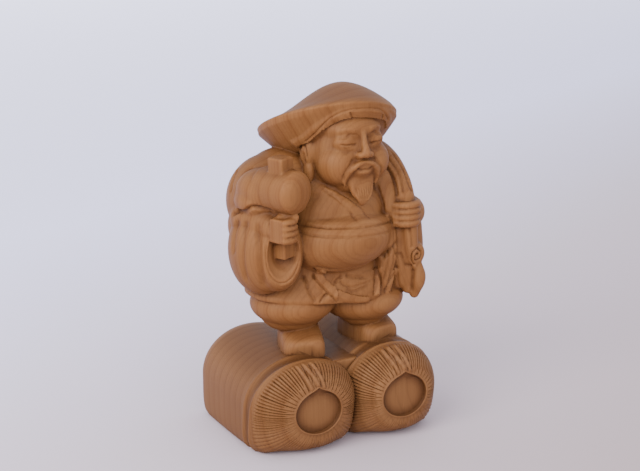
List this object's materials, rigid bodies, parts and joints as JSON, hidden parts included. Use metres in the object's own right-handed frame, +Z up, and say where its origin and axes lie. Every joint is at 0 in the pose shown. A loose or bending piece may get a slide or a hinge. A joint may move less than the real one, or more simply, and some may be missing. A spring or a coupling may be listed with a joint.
{
  "type": "daikoku statue",
  "caption": "Carved wooden figure of a stout lucky god in a soft hat, holding a mallet and a sack, standing on two rice bales as one block.",
  "frame": {"origin": "centre of the bounding box in X and Y, on the plane that the bales stand on", "axes": "+Z up the figure, -Y the way it faces, +X to its left hand"},
  "size_m": [0.1774, 0.1366, 0.2996],
  "materials": {
    "carved_wood": "satin, bare or thinly oiled"
  },
  "bodies": {
    "root": {"daikoku_statue": "carved_wood"}
  },
  "joints": []
}
